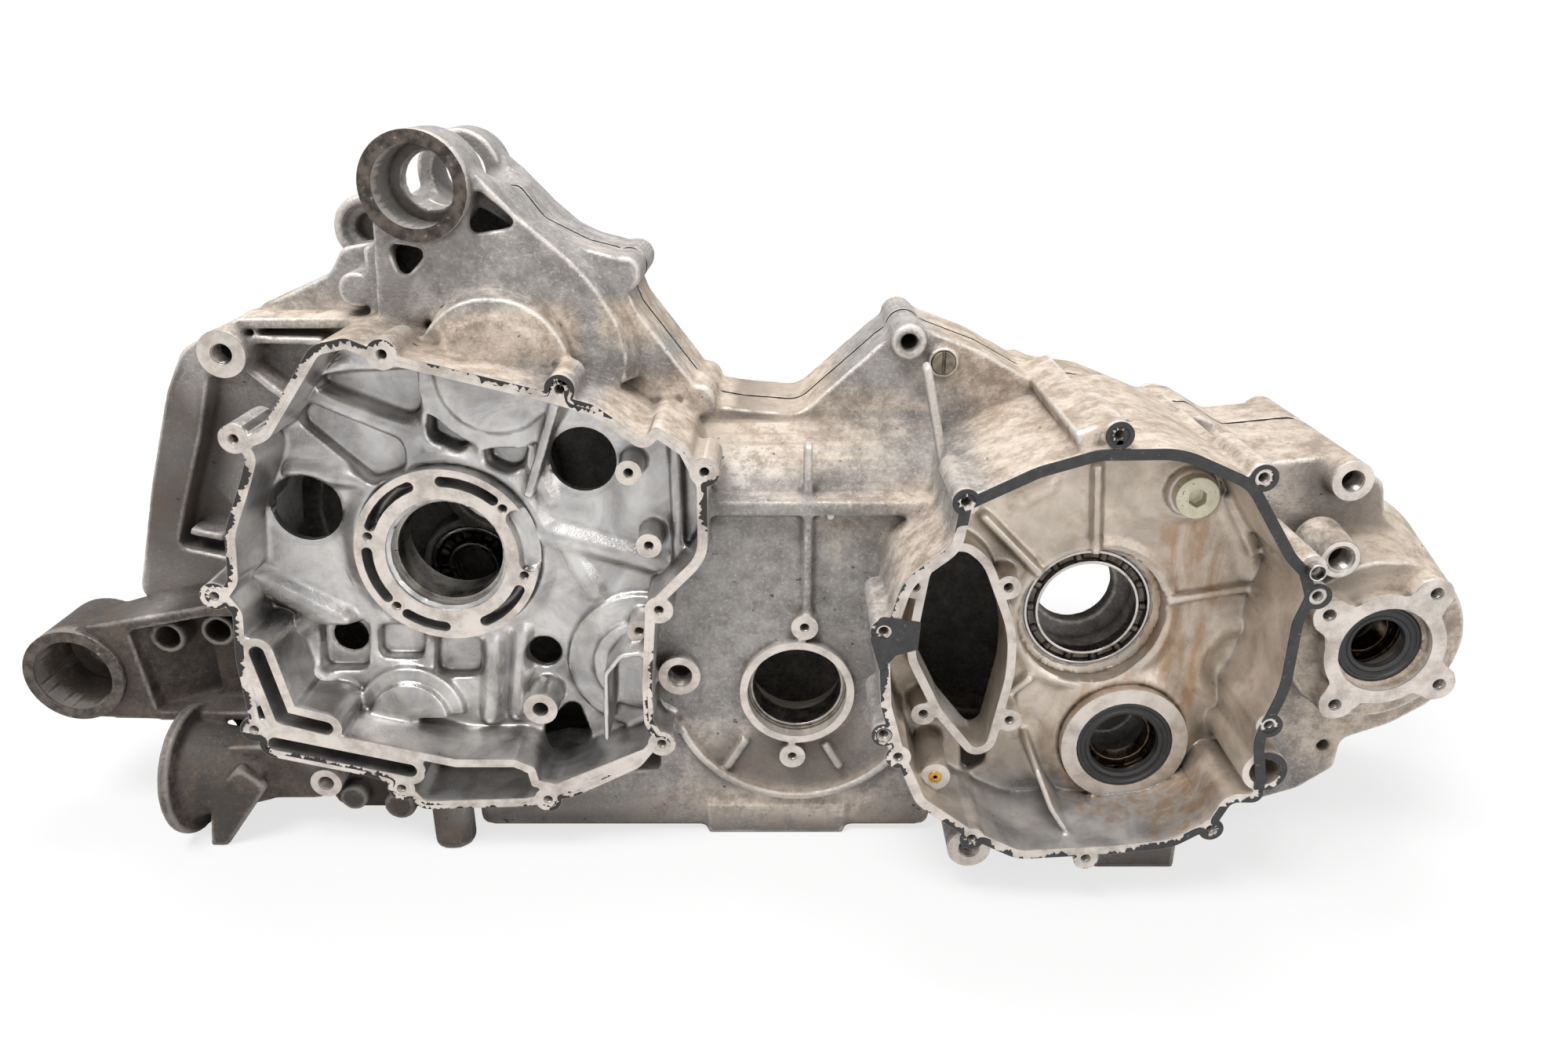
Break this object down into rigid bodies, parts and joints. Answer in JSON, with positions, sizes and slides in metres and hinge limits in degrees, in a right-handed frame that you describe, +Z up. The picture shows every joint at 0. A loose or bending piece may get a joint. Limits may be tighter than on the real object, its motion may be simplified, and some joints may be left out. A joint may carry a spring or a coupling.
{
  "type": "engine crankcase",
  "caption": "Split die-cast crankcase with built-in gearbox, open cover chambers on the front, bearings and oil seals in place, two engine mount eyes and a flanged output hub.",
  "frame": {"origin": "crank axis where it crosses the parting plane of the two castings", "axes": "+X along the case towards the output hub, +Y to the back, +Z up"},
  "size_m": [0.7882, 0.241, 0.3744],
  "materials": {
    "front_casting": "die cast, dusty",
    "rear_casting": "die cast, dusty",
    "joint_sealant": "dark sealant film",
    "gasket_paper": "charcoal gasket paper",
    "shell_metal": "plain bearing lining",
    "seal_rubber": "moulded rubber",
    "plated_steel": "zinc plated",
    "bare_steel": "worn steel",
    "white_bead": "paint bead",
    "jet_brass": "turned",
    "bearing_steel": "ground"
  },
  "bodies": {
    "case": {"front_case": "front_casting", "rear_case": "rear_casting", "joint_sealant": "joint_sealant", "cover_gasket": "gasket_paper", "crank_shell_front_upper": "shell_metal", "crank_shell_front_lower": "shell_metal", "crank_shell_rear_upper": "shell_metal", "crank_shell_rear_lower": "shell_metal", "countershaft_seal": "seal_rubber", "output_seal": "seal_rubber", "socket_plug": "plated_steel", "slotted_plug": "bare_steel", "bead_plug": "white_bead", "oil_jet": "jet_brass", "shift_sleeve": "bearing_steel", "shift_circlip": "bare_steel", "cover_dowel": "bearing_steel", "case_screws": "plated_steel", "input_bearing_outer_ring": "bearing_steel", "balancer_bearing_outer_ring": "bearing_steel", "countershaft_bearing_outer_ring": "bearing_steel", "output_bearing_outer_ring": "bearing_steel"},
    "input_inner": {"input_bearing_inner_ring": "bearing_steel"},
    "input_balls": {"input_bearing_balls": "bearing_steel"},
    "balancer_inner": {"balancer_bearing_inner_ring": "bearing_steel"},
    "balancer_balls": {"balancer_bearing_balls": "bearing_steel"},
    "countershaft_inner": {"countershaft_bearing_inner_ring": "bearing_steel"},
    "countershaft_balls": {"countershaft_bearing_balls": "bearing_steel"},
    "output_inner": {"output_bearing_inner_ring": "bearing_steel"},
    "output_balls": {"output_bearing_balls": "bearing_steel"}
  },
  "joints": [
    {"name": "input_turn", "type": "hinge", "parent": "case", "child": "input_inner", "pos_m": [0.328, -0.0695, -0.027], "axis": [0, 1, 0], "continuous": true},
    {"name": "input_ball_roll", "type": "hinge", "parent": "case", "child": "input_balls", "pos_m": [0.328, -0.0695, -0.027], "axis": [0, 1, 0], "continuous": true},
    {"name": "balancer_turn", "type": "hinge", "parent": "case", "child": "balancer_inner", "pos_m": [-0.021, 0.0535, -0.056], "axis": [0, 1, 0], "continuous": true},
    {"name": "balancer_ball_roll", "type": "hinge", "parent": "case", "child": "balancer_balls", "pos_m": [-0.021, 0.0535, -0.056], "axis": [0, 1, 0], "continuous": true},
    {"name": "countershaft_turn", "type": "hinge", "parent": "case", "child": "countershaft_inner", "pos_m": [0.35, -0.0765, -0.0975], "axis": [0, 1, 0], "continuous": true},
    {"name": "countershaft_ball_roll", "type": "hinge", "parent": "case", "child": "countershaft_balls", "pos_m": [0.35, -0.0765, -0.0975], "axis": [0, 1, 0], "continuous": true},
    {"name": "output_turn", "type": "hinge", "parent": "case", "child": "output_inner", "pos_m": [0.47, -0.07, -0.037], "axis": [0, 1, 0], "continuous": true},
    {"name": "output_ball_roll", "type": "hinge", "parent": "case", "child": "output_balls", "pos_m": [0.47, -0.07, -0.037], "axis": [0, 1, 0], "continuous": true}
  ],
  "couplings": [
    {"joint": "input_ball_roll", "follows": "input_turn", "ratio": 0.4609},
    {"joint": "balancer_ball_roll", "follows": "balancer_turn", "ratio": 0.3948},
    {"joint": "countershaft_ball_roll", "follows": "countershaft_turn", "ratio": 0.4338},
    {"joint": "output_ball_roll", "follows": "output_turn", "ratio": 0.4273}
  ]
}
